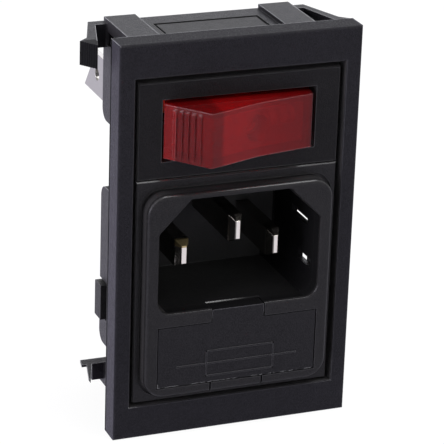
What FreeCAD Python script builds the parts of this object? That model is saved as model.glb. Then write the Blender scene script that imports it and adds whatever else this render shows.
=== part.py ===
import FreeCAD, Part
import math
import os
import re

import Sketcher

# Panel-mounted C14 mains inlet with an illuminated rocker switch and a fuse drawer, built as one bezel frame
# that carries two snap-in modules.  X runs to the right, Y into the panel and Z up.  The origin is the middle
# of the bezel's flange on the plane where the flange seats against the panel.

Vector = FreeCAD.Vector
doc = FreeCAD.newDocument("panel_inlet")
sheet = doc.addObject("Spreadsheet::Sheet", "Sizes")

SIZES = [
    # bezel flange and the window that shows the modules
    ("flange_width", 36.0), ("flange_height", 59.2), ("flange_thick", 3.8), ("flange_round", 0.35),
    ("window_width", 31.3), ("window_height", 49.2), ("window_bevel", 0.15),
    ("ledge_thick", 1.3), ("ledge_height", 47.8),
    # shroud that passes through the panel cut-out
    ("shroud_width", 28.3), ("shroud_height", 55.2), ("shroud_depth", 14.3), ("side_wall", 1.0),
    ("end_wall", 1.2), ("collar_depth", 2.5), ("band_width", 4.7), ("band_rise", 0.6), ("corner_round", 1.8), ("top_corner_round", 0.8),
    ("upper_panel_top", 24.5), ("upper_panel_low", 13.1), ("lower_panel_top", 3.0), ("lower_panel_low", 21.7),
    ("port_front", 1.0), ("port_length", 6.5), ("port_top", 0.8), ("port_low", 9.3),
    ("latch_width", 15.6), ("latch_front", 3.0), ("latch_rear", 10.9), ("latch_gap", 0.15),
    # spring arms that grip the panel
    ("arm_height", 3.46), ("arm_root_half", 16.57), ("arm_web", 1.6), ("arm_thick", 1.19),
    ("arm_tip_half", 18.67), ("arm_tip_depth", 3.45), ("barb_out", 1.79), ("barb_back", 2.53),
    ("barb_foot_in", 1.38), ("barb_foot_back", 1.24), ("barb_tooth", 0.12),
    # lower centring leaves
    ("leaf_top", 24.3), ("leaf_thick", 0.35), ("leaf_rear", 13.0), ("leaf_web", 1.7), ("leaf_web_drop", 2.7),
    ("leaf_root_half", 16.2), ("leaf_width", 0.9), ("leaf_nib", 17.5), ("leaf_nib_front", 17.85), ("leaf_nib_length", 1.8),
    ("leaf_tip_half", 18.3), ("leaf_tip_depth", 5.7),
    # module plates
    ("plate_sink", 0.5), ("plate_gap", 0.55), ("plate_top_gap", 0.75), ("plate_low_gap", 0.25),
    ("divider_height", 9.54), ("divider_gap", 0.1), ("plate_bevel", 0.2), ("body_gap", 0.15),
    # rocker switch module
    ("rocker_height", 16.65), ("opening_width", 23.0), ("opening_height", 9.1), ("rim_thick", 1.3),
    ("well_width", 24.4), ("switch_depth", 14.2), ("switch_floor", 1.3), ("switch_wall", 2.1),
    ("pivot_depth", 0.67), ("trunnion_radius", 1.2), ("trunnion_reach", 1.0), ("trunnion_gap", 0.06),
    ("rocker_side_gap", 0.6), ("rocker_tilt", 15.1), ("rocker_half", 8.65), ("rocker_crest", 7.9),
    ("rocker_dip", 0.67), ("skirt_half", 11.86), ("skirt_crest", 0.9), ("skirt_low_half", 10.9),
    ("skirt_low", 0.4), ("hub_half", 3.0), ("hub_low", 2.4), ("rocker_wall", 1.1), ("rocker_round", 0.3),
    ("rib_pitch", 1.0), ("rib_width", 0.5), ("rib_rise", 0.25), ("rib_start", 1.7), ("rib_margin", 0.5),
    ("boss_radius", 2.0), ("bore_radius", 1.38), ("bore_top", 3.6), ("plunger_gap", 0.08),
    ("plunger_head", 0.6), ("plunger_reach", 9.65), ("plunger_nose", 0.5), ("spring_wire", 0.3), ("spring_radius", 0.95),
    ("spring_turns", 3.5),
    ("lamp_radius", 1.9), ("lamp_length", 5.2), ("lamp_crest", 3.4), ("lead_radius", 0.25),
    ("resistor_radius", 1.2), ("resistor_length", 5.0),
    # switch contacts and tabs
    ("blade_depth", 10.5), ("blade_half", 6.4), ("blade_lift", 1.36), ("blade_thick", 0.5),
    ("blade_width", 4.4), ("blade_tilt", 8.0), ("rivet_reach", 5.4), ("rivet_radius", 1.1),
    ("rivet_height", 0.55), ("contact_gap", 0.1),
    ("tab_thick", 0.8), ("tab_width", 6.3), ("tab_end", 28.5), ("tab_notch", 2.4), ("tab_hole", 1.8),
    ("tab_hole_inset", 5.6), ("tab_half", 12.1), ("lamp_tab_top", 6.0), ("slot_gap", 0.1),
    # inlet module
    ("inlet_depth", 14.0), ("inlet_wall_low", 1.8), ("inlet_top_gap", 0.3), ("platform_rise", 2.1),
    ("platform_half", 14.0), ("platform_top", 7.85), ("platform_low", 23.0), ("platform_corner", 3.0),
    ("platform_round", 0.6), ("moat_width", 0.5), ("moat_depth", 0.6),
    ("socket_half", 12.2), ("socket_flat", 7.5), ("socket_top", 6.9), ("socket_chamfer", 2.1),
    ("socket_low", 10.1), ("socket_depth", 17.0), ("socket_corner", 2.0), ("socket_soft", 0.5), ("rim_round", 0.3),
    ("side_slot_length", 4.6), ("side_slot_height", 1.3), ("low_slot_start", 2.4), ("low_slot_height", 6.3),
    ("high_slot_start", 0.7), ("high_slot_height", 0.25),
    ("tooth_half", 15.0), ("tooth_top", 12.0), ("tooth_low", 17.4), ("tooth_length", 2.6),
    ("finger_half", 4.1), ("finger_depth", 2.6), ("notch_round", 0.2), ("slit_width", 0.25), ("slit_drop", 1.2), ("slit_depth", 5.0),
    ("lug_thick", 1.2), ("lug_pad", 1.35), ("lug_clearance", 0.05),
    # pins and their tabs
    ("pin_thick", 2.0), ("pin_height", 4.0), ("pin_spread", 7.0), ("live_height", 3.0), ("earth_height", 1.0),
    ("live_tip", 1.4), ("earth_tip", 4.0), ("pin_bevel", 0.65), ("pin_bevel_length", 1.1), ("pin_gap", 0.05), ("rear_tab_end", 24.0),
    ("strap_thick", 0.8), ("strap_width", 4.0), ("cover_thick", 1.5), ("cover_margin", 0.4),
    # fuse drawer
    ("bay_top", 12.1), ("bay_low", 21.6), ("drawer_gap", 0.15), ("drawer_front", 2.3), ("drawer_sink", 0.05),
    ("finger_tab_half", 3.95), ("finger_tab_top", 10.25), ("drawer_rear", 9.6), ("drawer_wall", 0.8),
    ("drawer_floor", 1.0), ("cradle_half", 3.9), ("cradle_top", 15.6),
    ("fuse_depth", 7.0), ("fuse_height", 16.85), ("fuse_radius", 2.6), ("fuse_length", 20.0),
    ("cap_length", 5.2), ("cap_wall", 0.15), ("glass_wall", 0.5), ("fuse_wire_radius", 0.15),
    ("fuse_end_gap", 0.2), ("spare_depth", 0.1), ("spare_gap", 0.05),
    ("clip_thick", 0.4), ("clip_gap", 0.15), ("clip_end_gap", 0.6), ("clip_width", 4.2), ("clip_mouth", 5.0),
]
for row, (alias, number) in enumerate(SIZES, 1):
    sheet.set("A%d" % row, alias)
    sheet.set("B%d" % row, str(number))
    sheet.setAlias("B%d" % row, alias)
doc.recompute()

# Places that several pieces share, as formulas on the sheet's values
FRONT = "(-flange_thick)"
PLATE_FRONT = "(plate_sink - flange_thick)"
PLATE_BACK = "(-ledge_thick)"
PLATE_HALF = "(window_width / 2 - plate_gap)"
SHROUD_HALF = "(shroud_width / 2)"
SHROUD_IN = "(shroud_width / 2 - side_wall)"
SHROUD_TOP = "(shroud_height / 2)"
BODY_HALF = "(shroud_width / 2 - side_wall - body_gap)"
WELL_HALF = "(well_width / 2)"
ROCKER_SIDE = "(opening_height / 2 - rocker_side_gap)"
RIM_BACK = "(plate_sink - flange_thick + rim_thick)"
FLOOR_FRONT = "(switch_depth - switch_floor)"
PLATFORM_FRONT = "(plate_sink - flange_thick - platform_rise)"
SOCKET_BACK = "(plate_sink - flange_thick - platform_rise + socket_depth)"
DRAWER_FRONT = "(plate_sink - flange_thick - platform_rise + drawer_sink)"
DRAWER_BACK = "(plate_sink - flange_thick - platform_rise + drawer_sink + drawer_front)"
CHEEK_IN = "(fuse_length / 2 + fuse_end_gap)"
CHEEK_OUT = "(socket_half - drawer_gap - 0.1)"
CLIP_IN = "(fuse_length / 2 - clip_end_gap - clip_width)"
CLIP_OUT = "(fuse_length / 2 - clip_end_gap)"
BARB_HALF = "(arm_tip_half + barb_out)"
BARB_DEPTH = "(arm_tip_depth + barb_back)"
SPARE_HEIGHT = "(bay_low - 0.3 - drawer_floor - spare_gap - fuse_radius)"

WORD = re.compile(r"[a-z]+(?:_[a-z]+)+")
PIECES = []


def bind(formula):
    """The formula with every size named as a cell of the sheet."""
    return WORD.sub(lambda match: "Sizes." + match.group(0), formula)


def value(formula):
    """The number that a formula gives for the sheet's present values."""
    return float(sheet.evalExpression(bind(formula)))


def rectangle(left, right, low, top):
    return [(left, low), (right, low), (right, top), (left, top)]


def piece(name):
    """A new part of the assembly, whose label is its file name."""
    body = doc.addObject("PartDesign::Body", name)
    body.Label = name
    PIECES.append(body)
    return body


def sketch(body, name, plane, level, outlines):
    """Closed outlines on one of the body's own planes, moved to a level along the world axis across it."""
    origin_plane = next(part for part in body.Origin.OriginFeatures if part.Role == plane + "_Plane")
    drawing = body.newObject("Sketcher::SketchObject", name)
    drawing.AttachmentSupport = (origin_plane, [""])
    drawing.MapMode = "FlatFace"
    side = "-1" if plane == "XZ" else "1"
    drawing.setExpression("AttachmentOffset.Base.z", bind("%s * (%s)" % (side, level)))
    for outline in outlines:
        first = drawing.GeometryCount
        if outline[0] == "circle":
            add_circle(drawing, first, *outline[1:])
        elif outline[0] == "rounded":
            add_rounded(drawing, first, *outline[1:])
        else:
            add_polygon(drawing, first, outline)
    return drawing


def add_circle(drawing, index, across, up, radius):
    centre = Vector(value(across), value(up), 0)
    drawing.addGeometry(Part.Circle(centre, Vector(0, 0, 1), value(radius)))
    pin_point(drawing, index, 3, across, up)
    held = drawing.addConstraint(Sketcher.Constraint("Radius", index, value(radius)))
    drawing.setExpression("Constraints[%d]" % held, bind(radius))


def add_polygon(drawing, first, corners):
    points = [Vector(value(across), value(up), 0) for across, up in corners]
    count = len(points)
    for index in range(count):
        drawing.addGeometry(Part.LineSegment(points[index], points[(index + 1) % count]))
    for index, (across, up) in enumerate(corners):
        following = first + (index + 1) % count
        drawing.addConstraint(Sketcher.Constraint("Coincident", first + index, 2, following, 1))
        pin_point(drawing, first + index, 1, across, up)


def add_rounded(drawing, first, left, right, low, top, radius):
    """A rectangle with round corners: straight sides held at both ends, an arc of the radius between them."""
    quarter = math.pi / 2
    sides = [("%s + %s" % (left, radius), low, "%s - %s" % (right, radius), low),
             (right, "%s + %s" % (low, radius), right, "%s - %s" % (top, radius)),
             ("%s - %s" % (right, radius), top, "%s + %s" % (left, radius), top),
             (left, "%s - %s" % (top, radius), left, "%s + %s" % (low, radius))]
    centres = [("%s - %s" % (right, radius), "%s + %s" % (low, radius)),
               ("%s - %s" % (right, radius), "%s - %s" % (top, radius)),
               ("%s + %s" % (left, radius), "%s - %s" % (top, radius)),
               ("%s + %s" % (left, radius), "%s + %s" % (low, radius))]
    for index, (across, up, end_across, end_up) in enumerate(sides):
        start = Vector(value(across), value(up), 0)
        end = Vector(value(end_across), value(end_up), 0)
        drawing.addGeometry(Part.LineSegment(start, end))
        circle = Part.Circle(Vector(value(centres[index][0]), value(centres[index][1]), 0), Vector(0, 0, 1),
                             value(radius))
        drawing.addGeometry(Part.ArcOfCircle(circle, (index - 1) * quarter, index * quarter))
    for index, (across, up, end_across, end_up) in enumerate(sides):
        line = first + 2 * index
        pin_point(drawing, line, 1, across, up)
        pin_point(drawing, line, 2, end_across, end_up)
        drawing.addConstraint(Sketcher.Constraint("Coincident", line, 2, line + 1, 1))
        drawing.addConstraint(Sketcher.Constraint("Coincident", line + 1, 2, first + (2 * index + 2) % 8, 1))
        held = drawing.addConstraint(Sketcher.Constraint("Radius", line + 1, value(radius)))
        drawing.setExpression("Constraints[%d]" % held, bind(radius))


def pin_point(drawing, index, end, across, up):
    """Holds one point of a sketch at its two formulas, measured from the sketch's origin."""
    for kind, axis, formula in (("DistanceX", -2, across), ("DistanceY", -1, up)):
        if formula == "0":
            drawing.addConstraint(Sketcher.Constraint("PointOnObject", index, end, axis))
            continue
        held = drawing.addConstraint(Sketcher.Constraint(kind, -1, 1, index, end, value(formula)))
        drawing.setExpression("Constraints[%d]" % held, bind(formula))


def pad(body, name, plane, low, high, *outlines):
    """Adds the outlines' prism between two levels of the axis across the plane."""
    drawing = sketch(body, name + "_outline", plane, high if plane == "XZ" else low, outlines)
    feature = body.newObject("PartDesign::Pad", name)
    feature.Profile = drawing
    feature.setExpression("Length", bind("(%s) - (%s)" % (high, low)))
    return feature


def pocket(body, name, plane, low, high, *outlines):
    """Cuts the outlines' prism between two levels of the axis across the plane."""
    drawing = sketch(body, name + "_outline", plane, low if plane == "XZ" else high, outlines)
    feature = body.newObject("PartDesign::Pocket", name)
    feature.Profile = drawing
    feature.setExpression("Length", bind("(%s) - (%s)" % (high, low)))
    return feature


def mirror(body, name, *features):
    """Repeats features on the other side of the middle plane."""
    feature = body.newObject("PartDesign::Mirrored", name)
    feature.Originals = list(features)
    plane = next(part for part in body.Origin.OriginFeatures if part.Role == "YZ_Plane")
    feature.MirrorPlane = (plane, [""])
    body.Tip = feature
    return feature


def dress(body, kind, name, size, wanted):
    """A fillet or chamfer on every edge of the piece so far that the test picks."""
    doc.recompute()
    base = body.Tip
    edges = base.Shape.Edges
    names = ["Edge%d" % number for number, edge in enumerate(edges, 1) if wanted(edge)]
    feature = body.newObject("PartDesign::" + kind, name)
    feature.Base = (base, names)
    feature.setExpression("Radius" if kind == "Fillet" else "Size", bind(size))
    return feature


def near(first, second, slack=0.001):
    return abs(first - second) < slack


def lies_at(edge, axis, level):
    """Whether a whole edge lies in the plane across the axis at that level."""
    box = edge.BoundBox
    low, high = {"x": (box.XMin, box.XMax), "y": (box.YMin, box.YMax), "z": (box.ZMin, box.ZMax)}[axis]
    return near(low, level) and near(high, level)


def runs_along(edge, axis):
    box = edge.BoundBox
    lengths = {"x": box.XLength, "y": box.YLength, "z": box.ZLength}
    return lengths.pop(axis) > 0.01 and all(length < 0.001 for length in lengths.values())


# ---------------------------------------------------------------- bezel frame
# One moulding: the flange that covers the cut-out, a ledge behind its window on which the module plates rest,
# a shroud through the panel, and four springy limbs rooted at the shroud's rear.
bezel = piece("bezel_frame")
flange_outline = rectangle("-flange_width / 2", "flange_width / 2", "-flange_height / 2", "flange_height / 2")
window_outline = rectangle("-window_width / 2", "window_width / 2", "-window_height / 2", "window_height / 2")
ledge_outline = rectangle("-" + SHROUD_IN, SHROUD_IN, "-ledge_height / 2", "ledge_height / 2")
pad(bezel, "flange", "XZ", FRONT, PLATE_BACK, flange_outline, window_outline)
pad(bezel, "ledge", "XZ", PLATE_BACK, "0", flange_outline, ledge_outline)
pad(bezel, "shroud", "XZ", "0", "shroud_depth",
    rectangle("-" + SHROUD_HALF, SHROUD_HALF, "-" + SHROUD_TOP, SHROUD_TOP),
    rectangle("-" + SHROUD_IN, SHROUD_IN, "end_wall - " + SHROUD_TOP, SHROUD_TOP + " - end_wall"))
behind = "shroud_depth + side_wall"
pocket(bezel, "side_openings", "YZ", "-shroud_width", "shroud_width",
       rectangle("collar_depth", behind, "upper_panel_top", SHROUD_TOP + " - end_wall"),
       rectangle("collar_depth", behind, "lower_panel_top", "upper_panel_low"),
       rectangle("collar_depth", behind, "end_wall - " + SHROUD_TOP, "-lower_panel_low"),
       rectangle("port_front", "port_front + port_length", "-port_low", "-port_top"),
       rectangle("inlet_depth - tooth_length - 2 * latch_gap", behind,
                 "-tooth_low - 2 * latch_gap", "2 * latch_gap - tooth_top"))
panel_ends = [value(level) for level in ("upper_panel_low", "lower_panel_top", "-lower_panel_low")]
dress(bezel, "Fillet", "panel_corners", "corner_round",
      lambda edge: runs_along(edge, "x") and lies_at(edge, "y", value("shroud_depth"))
      and any(lies_at(edge, "z", level) for level in panel_ends))
dress(bezel, "Fillet", "panel_top_corners", "top_corner_round",
      lambda edge: runs_along(edge, "x") and lies_at(edge, "y", value("shroud_depth"))
      and lies_at(edge, "z", value("upper_panel_top")))
band_in = SHROUD_HALF + " - band_width"
band_top = SHROUD_TOP + " + band_rise"
pad(bezel, "bands", "XZ", "0", "shroud_depth",
    rectangle(band_in, SHROUD_HALF, SHROUD_TOP, band_top),
    rectangle("-" + SHROUD_HALF, "band_width - " + SHROUD_HALF, SHROUD_TOP, band_top),
    rectangle(band_in, SHROUD_HALF, "-" + SHROUD_TOP + " - band_rise", "-" + SHROUD_TOP),
    rectangle("-" + SHROUD_HALF, "band_width - " + SHROUD_HALF, "-" + SHROUD_TOP + " - band_rise",
              "-" + SHROUD_TOP))
pocket(bezel, "latch_windows", "XY", "-shroud_height", "shroud_height",
       rectangle("-latch_width / 2 - latch_gap", "latch_width / 2 + latch_gap",
                 "latch_front - latch_gap", "latch_rear"))
# the barb's sloping front is a row of small teeth that bite the edge of the cut-out
teeth = []
bite = "barb_tooth / sqrt(barb_out^2 + barb_back^2)"
for number in range(1, 2 * 8):
    share = "%d / 16" % number
    depth = bite if number % 2 else "0"
    teeth.append(("%s * barb_out + %s * barb_back - %s" % (share, depth, BARB_HALF),
                  "%s - %s * barb_back + %s * barb_out" % (BARB_DEPTH, share, depth)))
arm = pad(bezel, "spring_arm", "XY", SHROUD_TOP + " - arm_height", SHROUD_TOP,
          [("-" + SHROUD_IN, "shroud_depth"), ("-arm_root_half", "shroud_depth"),
           ("barb_foot_in - " + BARB_HALF, BARB_DEPTH + " + barb_foot_back"), ("-" + BARB_HALF, BARB_DEPTH), *teeth,
           ("-arm_tip_half", "arm_tip_depth"), ("arm_thick - arm_root_half - 0.57", "shroud_depth - arm_web"),
           ("-" + SHROUD_IN, "shroud_depth - arm_web")])
leaf_web = pad(bezel, "leaf_web", "XY", "-leaf_top - leaf_web_drop", "-leaf_top",
               rectangle("-leaf_root_half", "-" + SHROUD_IN, "leaf_rear - leaf_web", "leaf_rear"))
leaf = pad(bezel, "centring_leaf", "XY", "-leaf_top - leaf_thick", "-leaf_top",
           [("-" + SHROUD_IN, "leaf_rear"), ("-leaf_nib", "leaf_rear"),
            ("-leaf_nib_front", "leaf_rear - leaf_nib_length"),
            ("-leaf_root_half - leaf_width", "leaf_rear - leaf_nib_length"),
            ("-leaf_tip_half", "leaf_tip_depth + leaf_width"), ("-leaf_tip_half", "leaf_tip_depth"),
            ("-leaf_root_half", "leaf_rear - leaf_web"), ("-" + SHROUD_IN, "leaf_rear - leaf_web")])
mirror(bezel, "right_limbs", arm, leaf_web, leaf)
flange_front = value(FRONT)
flange_side = value("flange_width / 2")
flange_top = value("flange_height / 2")
dress(bezel, "Fillet", "flange_soft_edge", "flange_round",
      lambda edge: lies_at(edge, "y", flange_front)
      and (any(lies_at(edge, "x", side * flange_side) for side in (-1, 1))
           or any(lies_at(edge, "z", side * flange_top) for side in (-1, 1))))
dress(bezel, "Chamfer", "window_soft_edge", "window_bevel",
      lambda edge: lies_at(edge, "y", flange_front) and abs(edge.CenterOfMass.x) < value("window_width / 2") + 0.01
      and abs(edge.CenterOfMass.z) < value("window_height / 2") + 0.01)

# ---------------------------------------------------------------- switch housing
# The upper module: a plate with the rocker's opening, a deep well for the works, bearings for the rocker's
# trunnions, slots for three tabs in the floor and a springy lug that snaps into the window of the end wall.
switch = piece("switch_housing")
plate_low = "(divider_height + divider_gap / 2)"
plate_top = "(window_height / 2 - plate_top_gap)"
well_low = "(rocker_height - opening_height / 2)"
well_top = "(rocker_height + opening_height / 2)"
pad(switch, "plate", "XZ", PLATE_FRONT, PLATE_BACK,
    rectangle("-" + PLATE_HALF, PLATE_HALF, plate_low, plate_top))
pad(switch, "box", "XZ", PLATE_BACK, "switch_depth",
    rectangle("-" + BODY_HALF, BODY_HALF, well_low + " - switch_wall", well_top + " + switch_wall"))
pocket(switch, "opening", "XZ", PLATE_FRONT, RIM_BACK,
       rectangle("-opening_width / 2", "opening_width / 2", well_low, well_top))
pocket(switch, "well", "XZ", RIM_BACK, FLOOR_FRONT, rectangle("-" + WELL_HALF, WELL_HALF, well_low, well_top))
bearing_reach = ROCKER_SIDE + " + trunnion_reach + 2 * trunnion_gap"
pocket(switch, "bearings", "XY", "rocker_height - %s" % bearing_reach.replace(" + ", " - "),
       "rocker_height + " + bearing_reach, ("circle", "0", "pivot_depth", "trunnion_radius + trunnion_gap"))
tab_low = "(rocker_height - tab_width / 2)"
tab_top = "(rocker_height + tab_width / 2)"
pocket(switch, "tab_slots", "XZ", FLOOR_FRONT, "switch_depth",
       *[rectangle(left + " - slot_gap", right + " + slot_gap", tab_low + " - slot_gap", tab_top + " + slot_gap")
         for left, right in (("-tab_half", "tab_thick - tab_half"), ("-tab_thick / 2", "tab_thick / 2"),
                             ("tab_half - tab_thick", "tab_half"))])
lug_top = SHROUD_TOP + " - lug_clearance"
pad(switch, "snap_lug", "YZ", "-latch_width / 2", "latch_width / 2",
    [("latch_front", well_top + " + switch_wall"), ("latch_front + lug_thick", well_top + " + switch_wall"),
     ("latch_front + lug_thick", lug_top + " - lug_pad"), ("latch_rear - latch_gap", lug_top + " - lug_pad"),
     ("latch_rear - latch_gap", lug_top), ("latch_front", lug_top)])
plate_front = value(PLATE_FRONT)
dress(switch, "Chamfer", "plate_soft_edge", "plate_bevel",
      lambda edge: lies_at(edge, "y", plate_front)
      and (near(abs(edge.CenterOfMass.x), value(PLATE_HALF)) or lies_at(edge, "z", value(plate_low))
           or lies_at(edge, "z", value(plate_top))))

# ---------------------------------------------------------------- rocker
# A translucent cap, modelled level about its own pivot and then tipped: two faces that meet in a shallow dip,
# flared ends with finger ribs, a hollow underside, a bored boss for the plunger and two trunnions.
rocker = piece("rocker")
pad(rocker, "cap", "XY", "-" + ROCKER_SIDE, ROCKER_SIDE,
    [("-rocker_half", "-rocker_crest"), ("0", "rocker_dip - rocker_crest"), ("rocker_half", "-rocker_crest"),
     ("skirt_half", "-skirt_crest"), ("skirt_low_half", "skirt_low"), ("hub_half", "hub_low"),
     ("-hub_half", "hub_low"), ("-skirt_low_half", "skirt_low"), ("-skirt_half", "-skirt_crest")])
inner_side = "(" + ROCKER_SIDE + " - rocker_wall)"
pocket(rocker, "hollow", "XY", "-" + inner_side, inner_side,
       [("rocker_wall - rocker_half", "rocker_wall - rocker_crest"),
        ("0", "rocker_dip + rocker_wall - rocker_crest"),
        ("rocker_half - rocker_wall", "rocker_wall - rocker_crest"),
        ("skirt_half - 1.4 * rocker_wall", "-skirt_crest"), ("skirt_half - 1.4 * rocker_wall", "hub_low + skirt_low"),
        ("1.4 * rocker_wall - skirt_half", "hub_low + skirt_low"), ("1.4 * rocker_wall - skirt_half", "-skirt_crest")])
pad(rocker, "boss", "XZ", "rocker_dip + rocker_wall / 2 - rocker_crest", "hub_low", ("circle", "0", "0", "boss_radius"))
pocket(rocker, "bore", "XZ", "-bore_top", "hub_low", ("circle", "0", "0", "bore_radius"))
pad(rocker, "trunnions", "XY", "-" + ROCKER_SIDE + " - trunnion_reach", "-" + ROCKER_SIDE,
    ("circle", "0", "0", "trunnion_radius"))
pad(rocker, "upper_trunnion", "XY", ROCKER_SIDE, ROCKER_SIDE + " + trunnion_reach",
    ("circle", "0", "0", "trunnion_radius"))
# the ribs stand across each flared end, one pitch apart along its slope
flare = "(skirt_half - rocker_half)"
drop = "(rocker_crest - skirt_crest)"
slope = "sqrt(%s^2 + %s^2)" % (flare, drop)
ribs = []
for number in range(5):
    run = "(rib_start + %d * rib_pitch)" % number
    corners = []
    for along, out in ((0, -1), (0, 1), (1, 1), (1, -1)):
        reach = "(%s + %d * rib_width)" % (run, along)
        rise = "(%d * rib_rise)" % out
        corners.append(("-rocker_half - (%s * %s + %s * %s) / %s" % (reach, flare, rise, drop, slope),
                        "(%s * %s - %s * %s) / %s - rocker_crest" % (reach, drop, rise, flare, slope)))
    ribs.append(corners)
rib_side = "(" + ROCKER_SIDE + " - rib_margin)"
finger_ribs = pad(rocker, "finger_ribs", "XY", "-" + rib_side, rib_side, *ribs)
mirror(rocker, "right_finger_ribs", finger_ribs)
crest = value("-rocker_crest")
dress(rocker, "Fillet", "soft_crests", "rocker_round",
      lambda edge: lies_at(edge, "y", crest) and runs_along(edge, "z"))
rocker.setExpression("Placement.Base.y", bind("pivot_depth"))
rocker.setExpression("Placement.Base.z", bind("rocker_height"))
rocker.setExpression("Placement.Rotation.Angle", bind("rocker_tilt"))


def tip_with_rocker(body):
    """Gives a piece carried by the rocker the rocker's own place and tilt."""
    body.setExpression("Placement.Base.y", bind("pivot_depth"))
    body.setExpression("Placement.Base.z", bind("rocker_height"))
    body.setExpression("Placement.Rotation.Angle", bind("rocker_tilt"))


# ---------------------------------------------------------------- plunger, its spring, lamp and resistor
# The nylon plunger slides in the boss and presses on the contact blade; the lamp and its ballast resistor lie
# in the two halves of the rocker's hollow, their leads reaching towards the boss.
plunger = piece("plunger")
pad(plunger, "rod", "XZ", "-plunger_head", "plunger_reach", ("circle", "0", "0", "bore_radius - plunger_gap"))
dress(plunger, "Chamfer", "nose", "plunger_nose",
      lambda edge: lies_at(edge, "y", value("plunger_reach")))
tip_with_rocker(plunger)

spring_coil = doc.addObject("Part::Helix", "spring_coil")
spring_coil.setExpression("Radius", bind("spring_radius"))
spring_coil.setExpression("Height", bind("bore_top - plunger_head - 1.4 * spring_wire"))
spring_coil.setExpression("Pitch", bind("(bore_top - plunger_head - 1.4 * spring_wire) / spring_turns"))
spring_section = doc.addObject("Part::RegularPolygon", "spring_section")
spring_section.Polygon = 6
spring_section.setExpression("Circumradius", bind("spring_wire / 2"))
spring_section.setExpression("Placement.Base.x", bind("spring_radius"))
spring_section.Placement.Rotation = FreeCAD.Rotation(Vector(1, 0, 0), 90)
plunger_spring = doc.addObject("Part::Sweep", "plunger_spring")
plunger_spring.Sections = [spring_section]
plunger_spring.Spine = (spring_coil, [])
plunger_spring.Solid = True
plunger_spring.Frenet = True
PIECES.append(plunger_spring)

lamp = piece("neon_lamp")
lamp_inner = "(boss_radius + lead_radius * 2)"
pad(lamp, "bulb", "YZ", "-%s - lamp_length" % lamp_inner, "-" + lamp_inner, ("circle", "-lamp_crest", "0", "lamp_radius"))
dress(lamp, "Fillet", "bulb_nose", "lamp_radius * 0.6",
      lambda edge: lies_at(edge, "x", -value(lamp_inner + " + lamp_length")))
pad(lamp, "leads", "XY", "-lead_radius", "lead_radius",
    *[rectangle("-" + lamp_inner, "-boss_radius", "%s - lamp_crest" % low, "%s - lamp_crest" % high)
      for low, high in (("-4 * lead_radius", "-2 * lead_radius"), ("2 * lead_radius", "4 * lead_radius"))])
tip_with_rocker(lamp)

resistor = piece("lamp_resistor")
pad(resistor, "ceramic", "YZ", lamp_inner + " + 2 * lead_radius", lamp_inner + " + 2 * lead_radius + resistor_length",
    ("circle", "-lamp_crest", "0", "resistor_radius"))
pad(resistor, "wire", "YZ", "boss_radius", lamp_inner + " + resistor_length + 4 * lead_radius",
    ("circle", "-lamp_crest", "0", "lead_radius"))
tip_with_rocker(resistor)

# ---------------------------------------------------------------- contact blade and rivets
# A brass see-saw bent to a shallow trough, rocking on the edge of the common terminal under the plunger.  Its
# right wing carries a silver rivet that meets the fixed one on the load terminal.
blade = piece("contact_blade")
blade_side = "(blade_width / 2)"
pad(blade, "trough", "XY", "-" + blade_side, blade_side,
    [("-blade_half", "-blade_lift"), ("0", "0"), ("blade_half", "-blade_lift"),
     ("blade_half", "blade_thick - blade_lift"), ("0", "blade_thick"), ("-blade_half", "blade_thick - blade_lift")])
wing_back = "(blade_thick - blade_lift * rivet_reach / blade_half)"
wing_slope = "(blade_lift / blade_half)"
pocket(blade, "rivet_hole", "XZ", "-2 * blade_lift", "blade_thick",
       ("circle", "rivet_reach", "0", "rivet_radius / 2"))
blade_rivet = piece("blade_rivet")
pad(blade_rivet, "shank", "XZ", wing_back + " - blade_thick - %s * rivet_radius" % wing_slope,
    wing_back + " + " + wing_slope + " * rivet_radius", ("circle", "rivet_reach", "0", "rivet_radius / 2 - 0.02"))
pad(blade_rivet, "head", "XZ", wing_back + " + %s * rivet_radius" % wing_slope,
    wing_back + " + rivet_height", ("circle", "rivet_reach", "0", "rivet_radius"))
for part in (blade, blade_rivet):
    part.setExpression("Placement.Base.y", bind("blade_depth"))
    part.setExpression("Placement.Base.z", bind("rocker_height"))
    part.setExpression("Placement.Rotation.Angle", bind("-blade_tilt"))

# ---------------------------------------------------------------- switch terminals
# Three stamped tabs with a notched end and a wire hole.  The middle one carries the blade, the right one has an
# arm under the blade's rivet and the left one reaches up for the lamp.
tab_back = "(tab_end - tab_notch)"
fixed_top = "(blade_depth + sin(blade_tilt) * rivet_reach + cos(blade_tilt) * (%s + rivet_height) + contact_gap)" \
    % wing_back
arm_front = "(%s + rivet_height)" % fixed_top


def terminal(name, left, right, top):
    """A tab that lies between two levels of X and starts at the depth given."""
    body = piece(name)
    pad(body, "tab", "YZ", left, right,
        [(top, tab_low), ("tab_end", tab_low), (tab_back, "rocker_height"), ("tab_end", tab_top), (top, tab_top)],
        ("circle", "tab_end - tab_hole_inset", "rocker_height", "tab_hole / 2"))
    return body


common = terminal("common_terminal", "-tab_thick / 2", "tab_thick / 2", "blade_depth + blade_thick + contact_gap")
lamp_terminal = terminal("lamp_terminal", "-tab_half", "tab_thick - tab_half", "lamp_tab_top")
load = terminal("load_terminal", "tab_half - tab_thick", "tab_half", arm_front)
pad(load, "contact_arm", "XZ", arm_front, arm_front + " + tab_thick",
    rectangle("rivet_reach - 1.6 * rivet_radius", "tab_half - tab_thick / 2", tab_low, tab_top))
pocket(load, "rivet_hole", "XZ", arm_front, arm_front + " + tab_thick",
       ("circle", "rivet_reach", "rocker_height", "rivet_radius / 2"))
fixed_rivet = piece("fixed_rivet")
pad(fixed_rivet, "shank", "XZ", arm_front, arm_front + " + tab_thick",
    ("circle", "rivet_reach", "rocker_height", "rivet_radius / 2 - 0.02"))
pad(fixed_rivet, "head", "XZ", fixed_top, arm_front, ("circle", "rivet_reach", "rocker_height", "rivet_radius"))

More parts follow.
